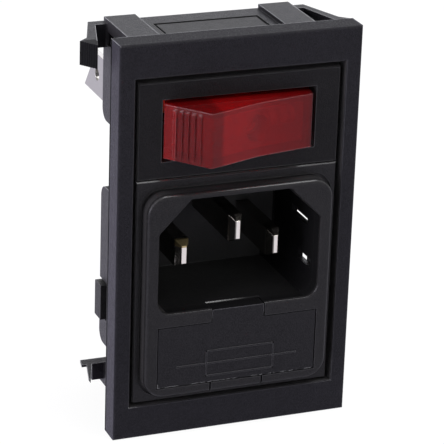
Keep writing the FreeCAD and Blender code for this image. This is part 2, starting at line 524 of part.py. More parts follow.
# ---------------------------------------------------------------- inlet housing
# The lower module: a plate with a raised, round-cornered platform in a shallow moat, the keyed socket for the
# cord's connector, a bay for the fuse drawer below it, and snap teeth at both flanks and underneath.
inlet = piece("inlet_housing")
inlet_top = "(divider_height - divider_gap / 2)"
inlet_low = "(window_height / 2 - plate_low_gap)"
inlet_box_top = "(divider_height - divider_gap / 2 - inlet_top_gap)"
inlet_box_low = "(bay_low + inlet_wall_low)"
moat_floor = "(plate_sink - flange_thick + moat_depth)"
pad(inlet, "plate", "XZ", PLATE_FRONT, PLATE_BACK,
    rectangle("-" + PLATE_HALF, PLATE_HALF, "-" + inlet_low, inlet_top))
dress(inlet, "Chamfer", "plate_soft_edge", "plate_bevel", lambda edge: lies_at(edge, "y", plate_front))
pad(inlet, "box", "XZ", PLATE_BACK, "inlet_depth",
    rectangle("-" + BODY_HALF, BODY_HALF, "-" + inlet_box_low, inlet_box_top))
pocket(inlet, "moat", "XZ", PLATE_FRONT, moat_floor,
       ("rounded", "(-platform_half - moat_width)", "(platform_half + moat_width)", "(-platform_low - moat_width)",
        "(platform_top + moat_width)", "(platform_corner + moat_width)"))
pad(inlet, "platform", "XZ", PLATFORM_FRONT, moat_floor,
    ("rounded", "-platform_half", "platform_half", "-platform_low", "platform_top", "platform_corner"))
platform_front = value(PLATFORM_FRONT)
dress(inlet, "Fillet", "platform_soft_edge", "platform_round", lambda edge: lies_at(edge, "y", platform_front))
pocket(inlet, "socket", "XZ", PLATFORM_FRONT, SOCKET_BACK,
       [("-socket_flat", "socket_top"), ("socket_flat", "socket_top"), ("socket_half", "socket_chamfer"),
        ("socket_half", "-socket_low"), ("-socket_half", "-socket_low"), ("-socket_half", "socket_chamfer")])
socket_side = value("socket_half")
dress(inlet, "Fillet", "socket_low_corners", "socket_corner",
      lambda edge: runs_along(edge, "y") and near(abs(edge.CenterOfMass.x), socket_side)
      and near(edge.CenterOfMass.z, -value("socket_low")))
dress(inlet, "Fillet", "socket_top_corners", "socket_soft",
      lambda edge: runs_along(edge, "y") and edge.CenterOfMass.y > platform_front
      and ((near(abs(edge.CenterOfMass.x), socket_side) and near(edge.CenterOfMass.z, value("socket_chamfer")))
           or (near(abs(edge.CenterOfMass.x), value("socket_flat")) and near(edge.CenterOfMass.z, value("socket_top")))))
dress(inlet, "Fillet", "socket_rim", "rim_round",
      lambda edge: lies_at(edge, "y", platform_front) and abs(edge.CenterOfMass.x) < socket_side + 0.01
      and -value("socket_low") - 0.01 < edge.CenterOfMass.z < value("socket_top") + 0.01)
pocket(inlet, "drawer_bay", "XZ", PLATFORM_FRONT, SOCKET_BACK,
       rectangle("-socket_half", "socket_half", "-bay_low", "-bay_top"))
pocket(inlet, "finger_notch", "XZ", PLATFORM_FRONT, PLATFORM_FRONT + " + finger_depth",
       rectangle("-finger_half", "finger_half", "-(bay_top + bay_low) / 2", "-(socket_low + socket_top) / 2"))
notch_back = value(PLATFORM_FRONT + " + finger_depth")
dress(inlet, "Fillet", "notch_edge", "notch_round",
      lambda edge: lies_at(edge, "y", notch_back) and lies_at(edge, "z", -value("socket_low")))
pocket(inlet, "rim_slits", "XZ", PLATFORM_FRONT, PLATFORM_FRONT + " + slit_depth",
       rectangle("finger_half - slit_width", "finger_half", "-bay_low - slit_drop", "-bay_low + slit_width"),
       rectangle("-finger_half", "slit_width - finger_half", "-bay_low - slit_drop", "-bay_low + slit_width"))
pocket(inlet, "side_slots", "YZ", "-shroud_width / 2", "shroud_width / 2",
       rectangle("-low_slot_start", "side_slot_length - low_slot_start", "-low_slot_height - side_slot_height / 2",
                 "side_slot_height / 2 - low_slot_height"),
       rectangle("-high_slot_start", "side_slot_length - high_slot_start + 1",
                 "-high_slot_height - side_slot_height / 2", "side_slot_height / 2 - high_slot_height"))
tooth = pad(inlet, "flank_tooth", "XZ", "inlet_depth - tooth_length", "inlet_depth",
            rectangle("-tooth_half", "-" + BODY_HALF, "-tooth_low", "-tooth_top"))
mirror(inlet, "right_flank_tooth", tooth)
pad(inlet, "snap_lug", "YZ", "-latch_width / 2", "latch_width / 2",
    [("latch_front", "-" + inlet_box_low), ("latch_front", "-(%s)" % lug_top),
     ("latch_rear - latch_gap", "-(%s)" % lug_top), ("latch_rear - latch_gap", "lug_pad - (%s)" % lug_top),
     ("latch_front + lug_thick", "lug_pad - (%s)" % lug_top), ("latch_front + lug_thick", "-" + inlet_box_low)])

# ---------------------------------------------------------------- pins
# Solid blades with bevelled tips, pressed through the socket's back wall.  Earth and neutral end in rear tabs,
# the line pin in a strap that leads down to the fuse.
strap_front = "(inlet_depth - strap_thick)"


def pin(name, across, height, tip, rear):
    """A blade of the standard section from its bevelled tip to the depth given."""
    body = piece(name)
    left, right = "%s - pin_thick / 2" % across, "%s + pin_thick / 2" % across
    low, top = "%s - pin_height / 2" % height, "%s + pin_height / 2" % height
    front, behind = "-" + tip, "pin_bevel_length - " + tip
    pad(body, "blade", "XZ", front, rear, rectangle(left, right, low, top))
    pocket(body, "side_bevels", "XY", low, top,
           [(left, front), (left + " + pin_bevel", front), (left, behind)],
           [(right, front), (right, behind), (right + " - pin_bevel", front)])
    pocket(body, "end_bevels", "YZ", left, right,
           [(front, low), (front, low + " + pin_bevel"), (behind, low)],
           [(front, top), (behind, top), (front, top + " - pin_bevel")])
    return body


def rear_tab(body, across, height):
    pad(body, "rear_tab", "YZ", "%s - tab_thick / 2" % across, "%s + tab_thick / 2" % across,
        [(strap_front, "%s - pin_height / 2" % height), ("inlet_depth", "%s - pin_height / 2" % height),
         ("inlet_depth + cover_thick", "%s - tab_width / 2" % height),
         ("rear_tab_end - tab_thick", "%s - tab_width / 2" % height),
         ("rear_tab_end", "%s - tab_width / 2 + tab_thick" % height),
         ("rear_tab_end", "%s + tab_width / 2 - tab_thick" % height),
         ("rear_tab_end - tab_thick", "%s + tab_width / 2" % height),
         ("inlet_depth + cover_thick", "%s + tab_width / 2" % height),
         ("inlet_depth", "%s + pin_height / 2" % height), (strap_front, "%s + pin_height / 2" % height)],
        ("circle", "rear_tab_end - tab_hole_inset / 2", height, "tab_hole / 2"))


line_pin = pin("line_pin", "-pin_spread", "-live_height", "live_tip", "inlet_depth")
pad(line_pin, "strap", "XZ", strap_front, "inlet_depth",
    rectangle("-pin_spread - strap_width / 2", "strap_width / 2 - pin_spread",
              "-fuse_height - strap_width / 2", "pin_height / 2 - live_height"))
neutral_pin = pin("neutral_pin", "pin_spread", "-live_height", "live_tip", "inlet_depth")
rear_tab(neutral_pin, "pin_spread", "-live_height")
earth_pin = pin("earth_pin", "0", "earth_height", "earth_tip", "inlet_depth")
rear_tab(earth_pin, "0", "earth_height")

pocket(inlet, "pin_slots", "XZ", SOCKET_BACK, "inlet_depth",
       *[rectangle("%s - pin_thick / 2 - pin_gap" % across, "%s + pin_thick / 2 + pin_gap" % across,
                   "%s - pin_height / 2 - pin_gap" % height, "%s + pin_height / 2 + pin_gap" % height)
         for across, height in (("-pin_spread", "-live_height"), ("pin_spread", "-live_height"),
                                ("0", "earth_height"))])
pocket(inlet, "strap_recess", "XZ", strap_front + " - pin_gap", "inlet_depth",
       rectangle("-pin_spread - strap_width / 2 - pin_gap", "strap_width / 2 + pin_gap - pin_spread",
                 "-fuse_height - strap_width / 2 - pin_gap", "pin_height / 2 + pin_gap - live_height"))

# ---------------------------------------------------------------- fuse clips
# Springy forks that grip the fuse's caps when the drawer is home.  The left one meets the line strap through
# the back wall, the right one goes on as the switched output tab.
clip_half = "(fuse_radius + clip_gap)"
stem = {"left": CLIP_IN + " + (clip_width - tab_thick) / 2", "right": CLIP_IN + " + (clip_width + tab_thick) / 2"}
clip_base = "(%s - clip_thick)" % SOCKET_BACK
fork = [("clip_mouth", "-fuse_height - %s - clip_thick" % clip_half),
        (SOCKET_BACK, "-fuse_height - %s - clip_thick" % clip_half),
        (SOCKET_BACK, "%s + clip_thick - fuse_height" % clip_half),
        ("clip_mouth", "%s + clip_thick - fuse_height" % clip_half),
        ("clip_mouth", "%s - fuse_height" % clip_half), (clip_base, "%s - fuse_height" % clip_half),
        (clip_base, "-fuse_height - %s" % clip_half), ("clip_mouth", "-fuse_height - %s" % clip_half)]
line_clip = piece("line_fuse_clip")
pad(line_clip, "fork", "YZ", "-" + CLIP_OUT, "-" + CLIP_IN, fork)
pad(line_clip, "stem", "YZ", "-(%s)" % stem["right"], "-(%s)" % stem["left"],
    rectangle(clip_base, strap_front, "-fuse_height - strap_width / 2", "strap_width / 2 - fuse_height"))
load_clip = piece("load_fuse_clip")
pad(load_clip, "fork", "YZ", CLIP_IN, CLIP_OUT, fork)
pad(load_clip, "stem", "YZ", stem["left"], stem["right"],
    [(clip_base, "-fuse_height - strap_width / 2"), ("inlet_depth", "-fuse_height - strap_width / 2"),
     ("inlet_depth + cover_thick", "-fuse_height - tab_width / 2"),
     ("rear_tab_end - tab_thick", "-fuse_height - tab_width / 2"),
     ("rear_tab_end", "tab_thick - fuse_height - tab_width / 2"),
     ("rear_tab_end", "tab_width / 2 - tab_thick - fuse_height"),
     ("rear_tab_end - tab_thick", "tab_width / 2 - fuse_height"),
     ("inlet_depth + cover_thick", "tab_width / 2 - fuse_height"),
     ("inlet_depth", "strap_width / 2 - fuse_height"), (clip_base, "strap_width / 2 - fuse_height")],
    ("circle", "rear_tab_end - tab_hole_inset / 2", "-fuse_height", "tab_hole / 2"))
pocket(inlet, "stem_slots", "XZ", SOCKET_BACK, "inlet_depth",
       rectangle("%s - pin_gap" % stem["left"], "%s + pin_gap" % stem["right"],
                 "-fuse_height - strap_width / 2 - pin_gap", "strap_width / 2 + pin_gap - fuse_height"),
       rectangle("-(%s) - pin_gap" % stem["right"], "pin_gap - (%s)" % stem["left"],
                 "-fuse_height - strap_width / 2 - pin_gap", "strap_width / 2 + pin_gap - fuse_height"))

# ---------------------------------------------------------------- rear cover
# A flat moulding welded over the back of the inlet housing, slotted for its three tabs.
cover = piece("rear_cover")
cover_slot = "(tab_width / 2 + slot_gap)"
pad(cover, "plate", "XZ", "inlet_depth", "inlet_depth + cover_thick",
    rectangle("cover_margin - " + BODY_HALF, BODY_HALF + " - cover_margin", "cover_margin - " + inlet_box_low,
              inlet_box_top + " - cover_margin"),
    *[rectangle("%s - slot_gap" % left, "%s + slot_gap" % right, "%s - %s" % (height, cover_slot),
                "%s + %s" % (height, cover_slot))
      for left, right, height in (("pin_spread - tab_thick / 2", "pin_spread + tab_thick / 2", "-live_height"),
                                  ("-tab_thick / 2", "tab_thick / 2", "earth_height"),
                                  (stem["left"], stem["right"], "-fuse_height"))])

# ---------------------------------------------------------------- fuse drawer
# Slides out towards the user.  Its front closes the bay flush with the platform, with a finger tab at the top;
# behind it lie the spare fuse in a trough and the working fuse in a cradle between two cheeks.
drawer = piece("fuse_drawer")
front_top = "(bay_top + drawer_gap)"
front_low = "(bay_low - drawer_gap)"
tray_top = "(bay_top + 2 * drawer_gap)"
tray_low = "(bay_low - 2 * drawer_gap)"
pad(drawer, "front", "XZ", DRAWER_FRONT, DRAWER_BACK,
    [("drawer_gap - socket_half", "-" + front_low), ("socket_half - drawer_gap", "-" + front_low),
     ("socket_half - drawer_gap", "-" + front_top), ("finger_tab_half", "-" + front_top),
     ("finger_tab_half", "-finger_tab_top"), ("-finger_tab_half", "-finger_tab_top"),
     ("-finger_tab_half", "-" + front_top), ("drawer_gap - socket_half", "-" + front_top)])
cheek = pad(drawer, "cheek", "XZ", DRAWER_BACK, "drawer_rear",
            rectangle("-" + CHEEK_OUT, "-" + CHEEK_IN, "-" + tray_low, "-" + tray_top))
mirror(drawer, "right_cheek", cheek)
pad(drawer, "dividing_wall", "XZ", "fuse_depth - fuse_radius - clip_gap - drawer_wall",
    "fuse_depth - fuse_radius - clip_gap", rectangle("-" + CHEEK_OUT, CHEEK_OUT, "-" + tray_low, "-" + tray_top))
pad(drawer, "trough_floor", "XY", "-" + tray_low, "drawer_floor - " + tray_low,
    rectangle("-" + CHEEK_OUT, CHEEK_OUT, DRAWER_BACK, "fuse_depth - fuse_radius - clip_gap"))
pad(drawer, "cradle", "XZ", "fuse_depth - fuse_radius - clip_gap", "drawer_rear",
    rectangle("-cradle_half", "cradle_half", "-" + tray_low, "-cradle_top"))
pocket(drawer, "cradle_bore", "YZ", "-cradle_half", "cradle_half",
       ("circle", "fuse_depth", "-fuse_height", "fuse_radius - cap_wall + spare_gap"))

# ---------------------------------------------------------------- fuses
# Two glass cartridge fuses: a tube, a pair of plated caps and the element, lying along X in the drawer.


def cylinder(name, radius, length, start, depth, height):
    """A round bar along X from the start given, at a depth and height."""
    bar = doc.addObject("Part::Cylinder", name)
    bar.setExpression("Radius", bind(radius))
    bar.setExpression("Height", bind(length))
    bar.Placement.Rotation = FreeCAD.Rotation(Vector(0, 1, 0), 90)
    bar.setExpression("Placement.Base.x", bind(start))
    bar.setExpression("Placement.Base.y", bind(depth))
    bar.setExpression("Placement.Base.z", bind(height))
    return bar


def cut(name, solid, hole):
    result = doc.addObject("Part::Cut", name)
    result.Base = solid
    result.Tool = hole
    return result


def fuse(prefix, depth, height):
    """One cartridge fuse on an axis at that depth and height."""
    half = "fuse_length / 2"
    glass_radius = "fuse_radius - cap_wall"
    hole_radius = "fuse_radius - cap_wall - glass_wall"
    glass = cylinder(prefix + "glass", glass_radius, "fuse_length - 2 * cap_wall", "cap_wall - " + half, depth, height)
    hole = cylinder(prefix + "glass_hole", hole_radius, "fuse_length", "-" + half, depth, height)
    tube = cut(prefix + "fuse_tube", glass, hole)
    for side, start, inner in (("left", "-" + half, "cap_wall - " + half),
                               ("right", half + " - cap_length", half + " - cap_length")):
        shell = cylinder(prefix + side + "_shell", "fuse_radius", "cap_length", start, depth, height)
        seat = cylinder(prefix + side + "_seat", glass_radius, "cap_length - cap_wall", inner, depth, height)
        PIECES.append(cut(prefix + "fuse_cap_" + side, shell, seat))
    PIECES.append(tube)
    PIECES.append(cylinder(prefix + "fuse_wire", "fuse_wire_radius", "fuse_length - 2 * cap_wall",
                           "cap_wall - " + half, depth, height))


fuse("", "fuse_depth", "-fuse_height")
fuse("spare_", "spare_depth", "-" + SPARE_HEIGHT)

# The spring stands in the rocker's bore, so it takes the rocker's place and tilt after its own turn into Y
doc.recompute()
tilt = FreeCAD.Rotation(Vector(0, 0, 1), value("rocker_tilt"))
seat_depth = Vector(0, value("0.7 * spring_wire - bore_top"), 0)
pivot = Vector(0, value("pivot_depth"), value("rocker_height"))
plunger_spring.Placement = FreeCAD.Placement(pivot + tilt.multVec(seat_depth),
                                             tilt.multiply(FreeCAD.Rotation(Vector(1, 0, 0), -90)))
doc.recompute()

# ---------------------------------------------------------------- checks and export
for item in doc.Objects:
    if "Invalid" in item.State or "Error" in item.State:
        raise RuntimeError("%s could not be built: %s" % (item.Name, item.State))
os.makedirs("parts", exist_ok=True)
for item in PIECES:
    shape = item.Shape
    if shape.isNull() or not shape.isValid() or not shape.Solids:
        raise RuntimeError("%s has no valid solid" % item.Name)
    item.Label = item.Name
    shape.exportStep("parts/%s.step" % item.Name)
    print("%-18s %d solid, %9.2f mm3" % (item.Name, len(shape.Solids), shape.Volume))
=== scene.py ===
import math

import bpy
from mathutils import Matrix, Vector


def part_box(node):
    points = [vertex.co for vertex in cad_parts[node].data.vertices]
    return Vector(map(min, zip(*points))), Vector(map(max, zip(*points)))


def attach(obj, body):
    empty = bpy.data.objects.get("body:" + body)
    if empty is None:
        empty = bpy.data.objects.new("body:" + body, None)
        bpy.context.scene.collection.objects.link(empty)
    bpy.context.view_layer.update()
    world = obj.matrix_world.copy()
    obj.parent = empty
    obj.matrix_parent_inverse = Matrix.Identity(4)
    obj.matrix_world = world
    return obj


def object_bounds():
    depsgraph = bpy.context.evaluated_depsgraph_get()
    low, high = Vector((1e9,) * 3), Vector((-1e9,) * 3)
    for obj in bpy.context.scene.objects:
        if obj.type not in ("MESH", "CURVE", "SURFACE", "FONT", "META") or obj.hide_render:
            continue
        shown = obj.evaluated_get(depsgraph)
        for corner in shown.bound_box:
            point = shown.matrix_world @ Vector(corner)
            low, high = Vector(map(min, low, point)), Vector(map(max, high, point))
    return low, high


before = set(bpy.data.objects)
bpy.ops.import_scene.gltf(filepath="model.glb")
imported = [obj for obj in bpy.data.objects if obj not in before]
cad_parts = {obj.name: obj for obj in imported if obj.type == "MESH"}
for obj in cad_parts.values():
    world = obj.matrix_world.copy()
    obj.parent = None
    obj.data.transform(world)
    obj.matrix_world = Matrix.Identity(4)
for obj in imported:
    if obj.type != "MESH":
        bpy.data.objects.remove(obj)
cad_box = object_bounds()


# ---- Studio ----------------------------------------------------------------------------------------------
# A long lens looks down on the inlet from the front left.  A pale floor and a white surround fill the view;
# broad soft boxes above, to the left, in front and behind pick out the moulded edges.

pitch, roll, yaw = 68.4397, -1.8353, -21.3199
lens = bpy.data.cameras.new("long_lens")
lens.sensor_width = 36.0
lens.lens = 200.65
lens.clip_start = 0.01
lens.clip_end = 20.0
camera = bpy.data.objects.new("camera", lens)
camera.location = (-0.12399, -0.30419, 0.13039)
camera.rotation_euler = (math.radians(pitch), math.radians(roll), math.radians(yaw))
bpy.context.scene.collection.objects.link(camera)
bpy.context.scene.camera = camera
bpy.context.scene.view_settings.view_transform = "Standard"


def soft_box(name, place, width, height, watts, colour=(1.0, 1.0, 1.0)):
    """A rectangular lamp at a place, turned to face the middle of the flange."""
    lamp = bpy.data.lights.new(name, "AREA")
    lamp.shape = "RECTANGLE"
    lamp.size = width
    lamp.size_y = height
    lamp.energy = watts
    lamp.color = colour
    holder = bpy.data.objects.new(name, lamp)
    holder.location = place
    holder.rotation_euler = (-Vector(place)).to_track_quat("-Z", "Y").to_euler()
    bpy.context.scene.collection.objects.link(holder)


soft_box("overhead_box", (0.14, -0.07, 0.54), width=0.36, height=0.30, watts=2.6)
soft_box("left_box", (-0.50, -0.10, 0.15), width=0.30, height=0.40, watts=2.9, colour=(0.93, 0.90, 1.0))
soft_box("front_box", (0.25, -0.60, 0.20), width=0.40, height=0.40, watts=1.1)
soft_box("rear_box", (0.22, 0.52, 0.30), width=0.45, height=0.30, watts=0.72, colour=(0.90, 0.91, 1.0))


class Field:
    """A socket of a node tree that takes part in sums, so shader maths reads as plain expressions."""

    def __init__(self, owner, socket):
        self.owner = owner
        self.socket = socket

    def __getitem__(self, name):
        return Field(self.owner, self.socket.node.outputs[name])

    def join(self, operation, first, second):
        return self.owner.add("ShaderNodeMath", {"operation": operation}, {0: first, 1: second})

    def __add__(self, other):
        return self.join("ADD", self, other)

    def __radd__(self, other):
        return self.join("ADD", other, self)

    def __sub__(self, other):
        return self.join("SUBTRACT", self, other)

    def __rsub__(self, other):
        return self.join("SUBTRACT", other, self)

    def __mul__(self, other):
        return self.join("MULTIPLY", self, other)

    def __rmul__(self, other):
        return self.join("MULTIPLY", other, self)

    def __truediv__(self, other):
        return self.join("DIVIDE", self, other)

    def __rtruediv__(self, other):
        return self.join("DIVIDE", other, self)

    def __gt__(self, other):
        return self.join("GREATER_THAN", self, other)

    def __lt__(self, other):
        return self.join("LESS_THAN", self, other)

    def kept(self):
        """The value held between 0 and 1."""
        return self.owner.add("ShaderNodeClamp", {}, {0: self})

    def at_least(self, other):
        """The larger of two values."""
        return self.join("MAXIMUM", self, other)

    def size(self):
        """The value without its sign."""
        return self.owner.add("ShaderNodeMath", {"operation": "ABSOLUTE"}, {0: self})


class NodeTree:
    """An emptied node tree and the few ways in which nodes are added to it."""

    def __init__(self, tree):
        self.tree = tree
        self.tree.nodes.clear()

    def add(self, kind, settings, sockets):
        """Any node: its settings first, then the values or links of its sockets."""
        made = self.tree.nodes.new(kind)
        for name, value in settings.items():
            setattr(made, name, value)
        for name, value in sockets.items():
            if isinstance(value, Field):
                self.tree.links.new(value.socket, made.inputs[name])
            else:
                made.inputs[name].default_value = value
        return Field(self, next((socket for socket in made.outputs if socket.enabled), None))

    def blend(self, mask, first, second):
        """A colour that runs from the first to the second with the mask."""
        made = self.tree.nodes.new("ShaderNodeMix")
        made.data_type = "RGBA"
        for name, value in ((0, mask), (6, first), (7, second)):
            if isinstance(value, Field):
                self.tree.links.new(value.socket, made.inputs[name])
            else:
                made.inputs[name].default_value = (*value, 1.0) if name else value
        return Field(self, made.outputs[2])

    def looking(self):
        """1 for rays that show the background, straight or by a reflection or clear plastic, else 0."""
        path = self.add("ShaderNodeLightPath", {}, {})
        return path["Is Camera Ray"].at_least(path["Is Glossy Ray"]).at_least(path["Is Transmission Ray"])


class Finish(NodeTree):
    """A material and its node tree, started with one principled shader."""

    def __init__(self, name, constants):
        self.material = bpy.data.materials.new(name)
        self.material.use_nodes = True
        super().__init__(self.material.node_tree)
        self.output = self.tree.nodes.new("ShaderNodeOutputMaterial")
        self.surface = self.add("ShaderNodeBsdfPrincipled", {}, constants)
        self.show(self.surface)

    def show(self, surface):
        """Makes a shader the one that is seen."""
        self.tree.links.new(surface.socket, self.output.inputs["Surface"])

    def feed(self, socket, value):
        self.tree.links.new(value.socket, self.surface.socket.node.inputs[socket])

    def place(self):
        return self.add("ShaderNodeTexCoord", {}, {})["Object"]

    def noise(self, scale, detail=2.0, roughness=0.5, vector=None):
        return self.add("ShaderNodeTexNoise", {}, {"Vector": vector or self.place(), "Scale": scale,
                                                   "Detail": detail, "Roughness": roughness})

    def along(self, axis):
        """How far a point lies along one axis of the frame, in metres."""
        return self.add("ShaderNodeSeparateXYZ", {}, {"Vector": self.place()})[axis]

    def between(self, axis, low, high):
        """1 where a point lies between two marks on an axis, else 0.  None leaves that end open."""
        run = self.along(axis)
        if low is None:
            return run < high
        if high is None:
            return run > low
        return (run > low) * (run < high)

    def softened_edges(self, radius):
        """A softened normal, and how far it turns from the true one: 0 on faces, more along edges."""
        soft = self.add("ShaderNodeBevel", {"samples": 6}, {"Radius": radius})
        true = self.add("ShaderNodeNewGeometry", {}, {})["Normal"]
        turned = self.add("ShaderNodeVectorMath", {"operation": "DOT_PRODUCT"}, {0: soft, 1: true})["Value"]
        return soft, (1.0 - turned).kept()


# The floor is a wide pale sheet whose glow is plain white to the eye, with a little diffuse white left in
# it so that the inlet still casts a faint shadow.  It lies a hair under the flange.
floor_width = 8.0
floor_drop = 0.00002
floor_glow = 1.03
glow_share = 0.9
bpy.ops.object.select_all(action="DESELECT")
bpy.ops.mesh.primitive_plane_add(size=floor_width, location=(0.0, 0.0, cad_box[0][2] - floor_drop))
floor = bpy.context.active_object
floor.name = "floor"
pale = Finish("pale_floor", {"Base Color": (0.9, 0.9, 0.9, 1.0), "Roughness": 0.9,
                             "Specular IOR Level": 0.0})
mirrored = pale.add("ShaderNodeLightPath", {}, {})["Is Glossy Ray"]
tone = pale.blend(mirrored, (1.0, 1.0, 1.0), (0.96, 0.94, 1.10))
glow = pale.add("ShaderNodeEmission", {}, {"Color": tone, "Strength": floor_glow})
pale.show(pale.add("ShaderNodeMixShader", {}, {0: pale.looking() * glow_share, 1: pale.surface, 2: glow}))
floor.data.materials.append(pale.material)

# The surround lights the inlet softly and looks plain white.
surround = bpy.data.worlds.new("surround")
surround.use_nodes = True
bpy.context.scene.world = surround
sky = NodeTree(surround.node_tree)
white = (1.0, 1.0, 1.0, 1.0)
soft_light = sky.add("ShaderNodeBackground", {}, {"Color": white, "Strength": 0.35})
backdrop = sky.add("ShaderNodeBackground", {}, {"Color": white, "Strength": 1.0})
choice = sky.add("ShaderNodeMixShader", {}, {0: sky.looking(), 1: soft_light, 2: backdrop})
sky.add("ShaderNodeOutputWorld", {}, {"Surface": choice})


# ---- Bezel frame -----------------------------------------------------------------------------------------
# The outer moulding, injection moulded in black flame-retardant plastic from a spark-eroded tool, so its
# faces are evenly matt with a very fine grain and its edges a shade smoother.


def dress(finish, *nodes):
    """Puts a finish on carried-over pieces in place of what they wore."""
    for name in nodes:
        shape = bpy.data.objects[name]
        shape.data.materials.clear()
        shape.data.materials.append(finish.material)


class BlackMoulding(Finish):
    """Matt black plastic: grain in the bump, a faint mottle, and paler edges that are partly burnished wear
    and partly painted highlight.

    Its body colour, its roughness and how far its edges are worn and painted as highlights can be altered
    before it is laid on.
    """

    speck_scale, mottle_scale, cloud_scale = 5200.0, 900.0, 60.0
    grain_depth = 0.00012

    def __init__(self, name, colour, sheen_level, gloss, grain, edge_width):
        super().__init__(name, {"Specular IOR Level": sheen_level, "Specular Tint": (0.93, 0.91, 1.0, 1.0),
                                "IOR": 1.5, "Coat Roughness": 0.14, "Coat IOR": 1.8})
        self.soft, edge = self.softened_edges(edge_width)
        mottle = self.noise(self.mottle_scale, 3.0)
        cloud = self.noise(self.cloud_scale, 2.0)
        self.speck = self.noise(self.speck_scale, 2.0, 0.6)
        self.height = self.speck + mottle * 0.4
        self.grain = grain
        dark = tuple(part * 0.45 for part in colour)
        light = tuple(part * 1.55 for part in colour)
        patches = (mottle * 0.5 + cloud * 0.3 + self.speck * 3.0 - 1.4).kept()
        self.body = self.blend(patches, dark, light)
        # The pale edge colour is partly wear and partly painted highlight.
        self.pale_wear_and_highlight = tuple(part * 3.0 + 0.012 for part in colour)
        self.rough = gloss + mottle * 0.12 + self.speck * 0.08
        self.wear_and_highlight = (edge * 5.0).kept()

    def tint(self, mask, colour):
        """Gives the body another colour where the mask is 1."""
        self.body = self.blend(mask, self.body, colour)

    def lay_on(self, *nodes):
        """Feeds the gathered fields into the shader and dresses the nodes."""
        wear_and_highlight = self.wear_and_highlight.kept()
        self.feed("Base Color", self.blend(wear_and_highlight * 0.6, self.body, self.pale_wear_and_highlight))
        self.feed("Roughness", (self.rough - wear_and_highlight * 0.06).kept())
        self.feed("Coat Weight", wear_and_highlight)
        self.feed("Normal", self.add("ShaderNodeBump", {}, {"Strength": self.grain, "Height": self.height,
                                                            "Distance": self.grain_depth,
                                                            "Normal": self.soft}))
        dress(self, *nodes)


hair = 0.00005
flange_half, flange_top, flange_front = 0.0180, 0.0296, -0.0038
shroud_half, shroud_reach = 0.01415, 0.02
window_half, window_top = 0.01565, 0.0246
barb_front, barb_back = 0.0010, 0.0062
shadow = (0.0006, 0.0006, 0.0006)
bezel_black = BlackMoulding("bezel_black", (0.0076, 0.0072, 0.0092), sheen_level=0.11, gloss=0.32,
                            grain=0.9, edge_width=0.00018)

# The flange's top face has the most uneven gloss, and the left barb is matt all over.
top_edge = bezel_black.between("Z", flange_top - 0.0002, None) * bezel_black.between("Y", None, 0.0)
barb = bezel_black.between("X", None, -flange_half - 0.0001)
barb = barb * bezel_black.between("Y", barb_front, barb_back)
bezel_black.rough = bezel_black.rough + top_edge * (bezel_black.speck * 1.2 - 0.35) + barb * 0.25

# The window's walls are tinted paler, in place of the light that strays round the modules.
inside = bezel_black.between("X", -window_half - hair, window_half + hair)
inside = inside * bezel_black.between("Z", -window_top - hair, window_top + hair)
inside = inside * bezel_black.between("Y", -0.01, 0.0006)
bezel_black.tint(inside, (0.030, 0.029, 0.030))
window_edge = inside * bezel_black.between("Y", flange_front - 0.0001, flange_front + 0.0004)

# Painted light: the flange's flanks and the shroud's side walls are a shade paler, with a coarser mottle.
across = bezel_black.along("X").size()
coarse = (bezel_black.speck * 4.0 - 1.5).kept()
flank = (across > flange_half - 0.0003) * (across < flange_half + 0.0001)
flank = flank * bezel_black.between("Y", flange_front + 0.0002, 0.0)
bezel_black.tint(flank, bezel_black.blend(coarse, (0.010, 0.009, 0.013), (0.032, 0.029, 0.041)))
wall = (across > shroud_half - 0.00025) * (across < shroud_half + 0.00025)
wall = wall * bezel_black.between("Y", 0.0, shroud_reach)
bezel_black.tint(wall, bezel_black.blend(coarse, (0.026, 0.025, 0.028), (0.040, 0.038, 0.043)))

# The flange's rear left edge, the left barb and the latch slot's border are tinted dark, in place of deeper
# shade than the lamps leave there.
root = bezel_black.between("Y", -0.00045, 0.0001)
root = root * bezel_black.between("X", -flange_half - 0.0001, -flange_half + 0.0006)
slot = bezel_black.between("X", -0.0083, 0.0083) * bezel_black.between("Y", 0.0025, 0.0113)
slot = slot * bezel_black.between("Z", 0.0255, 0.0280)
bezel_black.tint(root.at_least(slot).at_least(barb * 0.9), shadow)
bezel_black.rough = bezel_black.rough + root * 0.5
bezel_black.wear_and_highlight = bezel_black.wear_and_highlight * (1.0 - slot) * (1.0 - barb * 0.85) * (1.0 - window_edge * 0.85)
bezel_black.lay_on("bezel_frame")

# ---- Switch housing --------------------------------------------------------------------------------------
# The well of the rocker, a snap-in moulding of the same plastic, polished a little more in the tool than
# the bezel and so a touch darker.  Its lug latches into the slot on top of the shroud.
plate_front = -0.0033
plate_back = 0.0005
lug_low, lug_top = 0.0262, 0.0285
switch_black = BlackMoulding("switch_black", (0.0066, 0.0062, 0.0066), sheen_level=0.09, gloss=0.34,
                             grain=0.5, edge_width=0.00015)
# Painted highlight: the plate's front bevel gets the paler edge colour, along with its coat.
bevel = switch_black.between("Y", plate_front + 0.00004, plate_front + 0.00019)
switch_black.wear_and_highlight = switch_black.wear_and_highlight + bevel * 0.8
# Painted light: the plate's side walls behind its front are tinted paler.
sides = switch_black.between("Y", plate_front + 0.00025, plate_back)
switch_black.tint(sides, (0.040, 0.038, 0.040))
# Painted shade: the lug's border is tinted dark, standing in for a wider gap round it.
lug_face = switch_black.between("X", -0.0076, 0.0076) * switch_black.between("Y", 0.0032, 0.0105)
lug_edge = switch_black.between("Z", lug_low, lug_top) * (1.0 - lug_face)
switch_black.tint(lug_edge, shadow)
switch_black.rough = switch_black.rough + lug_edge * 0.5
switch_black.wear_and_highlight = switch_black.wear_and_highlight * (1.0 - lug_edge)
switch_black.lay_on("switch_housing")

